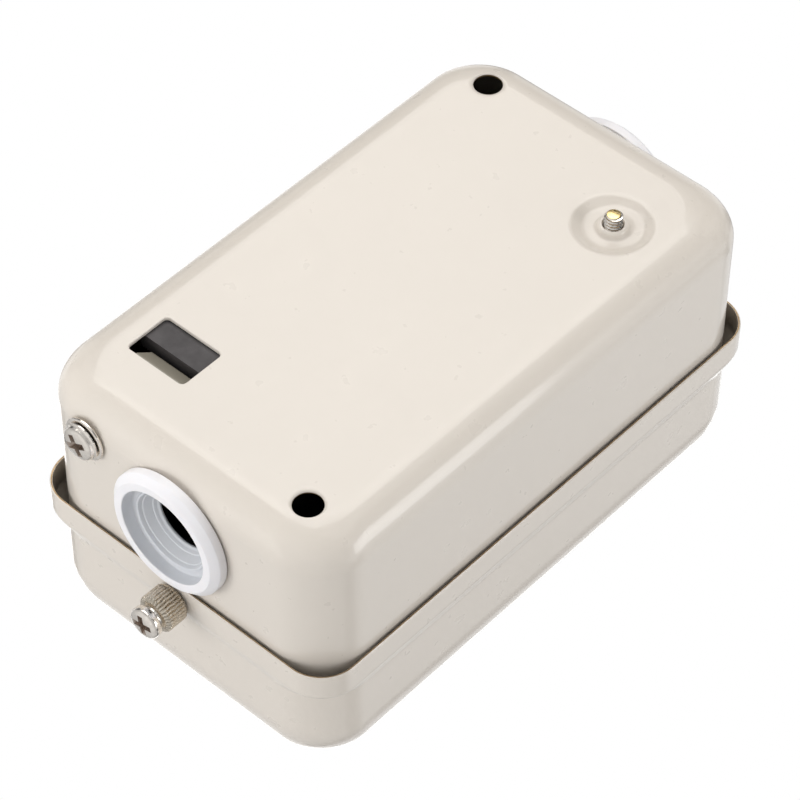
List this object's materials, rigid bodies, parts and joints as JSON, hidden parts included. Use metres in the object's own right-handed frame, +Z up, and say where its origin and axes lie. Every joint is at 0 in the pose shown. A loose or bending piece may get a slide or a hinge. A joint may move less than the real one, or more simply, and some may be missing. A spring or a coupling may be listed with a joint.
{
  "type": "magnetic motor starter",
  "caption": "Direct-on-line motor starter in a pressed-steel wall case with a swing-off cover, start and stop buttons, contactor and overload relay.",
  "frame": {"origin": "middle of the flat back of the case, on the wall plane", "axes": "+Y out of the back into the wall, -Y out of the front, +Z up along the long side, +X to the right when the front is seen"},
  "size_m": [0.098, 0.1005, 0.1772],
  "materials": {
    "case_paint": "gloss stoved enamel on pressed steel",
    "grommet_plastic": "translucent milky white",
    "nickel_plate": "bright nickel",
    "zinc_plate": "zinc plated",
    "brass_screw": "yellow passivated",
    "black_moulding": "fine matt moulding",
    "grey_moulding": "fine matt moulding",
    "ivory_moulding": "satin moulding",
    "core_steel": "laminated electrical steel",
    "winding": "varnished tape over wire",
    "spring_steel": "drawn wire",
    "green_button": "semi gloss",
    "red_button": "semi gloss",
    "contact_copper": "bare copper alloy",
    "bimetal": "rolled strip",
    "terminal_brass": "bright stamped brass",
    "screw_steel": "zinc plated"
  },
  "bodies": {
    "base": {"armature_spring_lower": "spring_steel", "armature_spring_upper": "spring_steel", "base_shell": "case_paint", "bimetal_strip_1": "bimetal", "bimetal_strip_2": "bimetal", "bimetal_strip_3": "bimetal", "cable_grommet_lower": "grommet_plastic", "cable_grommet_upper": "grommet_plastic", "coil_bobbin": "ivory_moulding", "coil_winding": "winding", "contactor_base": "black_moulding", "contactor_head": "black_moulding", "earth_nut": "zinc_plate", "earth_screw": "nickel_plate", "earth_washer": "zinc_plate", "fixed_core": "core_steel", "line_terminal_1": "terminal_brass", "line_terminal_1_screw": "screw_steel", "line_terminal_2": "terminal_brass", "line_terminal_2_screw": "screw_steel", "line_terminal_3": "terminal_brass", "line_terminal_3_screw": "screw_steel", "load_terminal_1": "terminal_brass", "load_terminal_1_screw": "screw_steel", "load_terminal_2": "terminal_brass", "load_terminal_2_screw": "screw_steel", "load_terminal_3": "terminal_brass", "load_terminal_3_screw": "screw_steel", "motor_terminal_1": "terminal_brass", "motor_terminal_1_screw": "screw_steel", "motor_terminal_2": "terminal_brass", "motor_terminal_2_screw": "screw_steel", "motor_terminal_3": "terminal_brass", "motor_terminal_3_screw": "screw_steel", "relay_housing": "black_moulding", "relay_lid": "grey_moulding", "start_contact_block": "grey_moulding", "starter_chassis": "black_moulding", "starter_screw": "brass_screw"},
    "cover": {"cover_shell": "case_paint", "button_plate": "grey_moulding", "cover_hook_left": "zinc_plate", "cover_hook_right": "zinc_plate", "start_button_spring": "spring_steel", "stop_button_spring": "spring_steel"},
    "armature": {"moving_core": "core_steel", "contact_carrier": "black_moulding", "contact_bridge_1": "contact_copper", "contact_bridge_2": "contact_copper", "contact_bridge_3": "contact_copper"},
    "start_button": {"start_button": "green_button"},
    "stop_button": {"stop_button": "red_button"},
    "start_plunger": {"start_plunger": "ivory_moulding"},
    "reset_plunger": {"reset_plunger": "red_button"},
    "current_dial": {"current_dial": "ivory_moulding"},
    "trip_slider": {"trip_slider": "ivory_moulding"},
    "cover_screw": {"cover_screw": "nickel_plate"},
    "cover_screw_nut": {"cover_screw_nut": "zinc_plate"}
  },
  "joints": [
    {"name": "cover_swing", "type": "hinge", "parent": "base", "child": "cover", "pos_m": [0, -0.0417, 0.0815], "axis": [-1, 0, 0], "range_deg": [0, 45]},
    {"name": "cover_screw_turn", "type": "hinge", "parent": "cover", "child": "cover_screw", "pos_m": [0, -0.0473, -0.08], "axis": [0, 0, 1], "range_deg": [0, 1260]},
    {"name": "cover_nut_travel", "type": "slide", "parent": "cover", "child": "cover_screw_nut", "axis": [0, 0, 1], "range_m": [0, 0.0025]},
    {"name": "start_press", "type": "slide", "parent": "cover", "child": "start_button", "axis": [0, 1, 0], "range_m": [0, 0.0025], "stiffness_N_per_m": 400, "springref_m": -0.005, "deforming": ["start_button_spring"]},
    {"name": "stop_press", "type": "slide", "parent": "cover", "child": "stop_button", "axis": [0, 1, 0], "range_m": [0, 0.003], "stiffness_N_per_m": 400, "springref_m": -0.005, "deforming": ["stop_button_spring"]},
    {"name": "start_plunger_press", "type": "slide", "parent": "base", "child": "start_plunger", "axis": [0, 1, 0], "range_m": [0, 0.0026]},
    {"name": "reset_press", "type": "slide", "parent": "base", "child": "reset_plunger", "axis": [0, 1, 0], "range_m": [0, 0.0031]},
    {"name": "armature_pull", "type": "slide", "parent": "base", "child": "armature", "axis": [0, 1, 0], "range_m": [0, 0.0042], "stiffness_N_per_m": 500, "springref_m": -0.008, "deforming": ["armature_spring_upper", "armature_spring_lower"]},
    {"name": "dial_turn", "type": "hinge", "parent": "base", "child": "current_dial", "pos_m": [-0.012, -0.062, -0.03], "axis": [0, -1, 0], "range_deg": [-120, 120]},
    {"name": "trip_slide", "type": "slide", "parent": "base", "child": "trip_slider", "axis": [1, 0, 0], "range_m": [0, 0.0015], "stiffness_N_per_m": 200, "springref_m": -0.002}
  ],
  "couplings": [
    {"joint": "cover_nut_travel", "follows": "cover_screw_turn", "m_per_rad": 0.00011141},
    {"joint": "start_plunger_press", "follows": "start_press", "ratio": 1},
    {"joint": "reset_press", "follows": "stop_press", "ratio": 1}
  ]
}
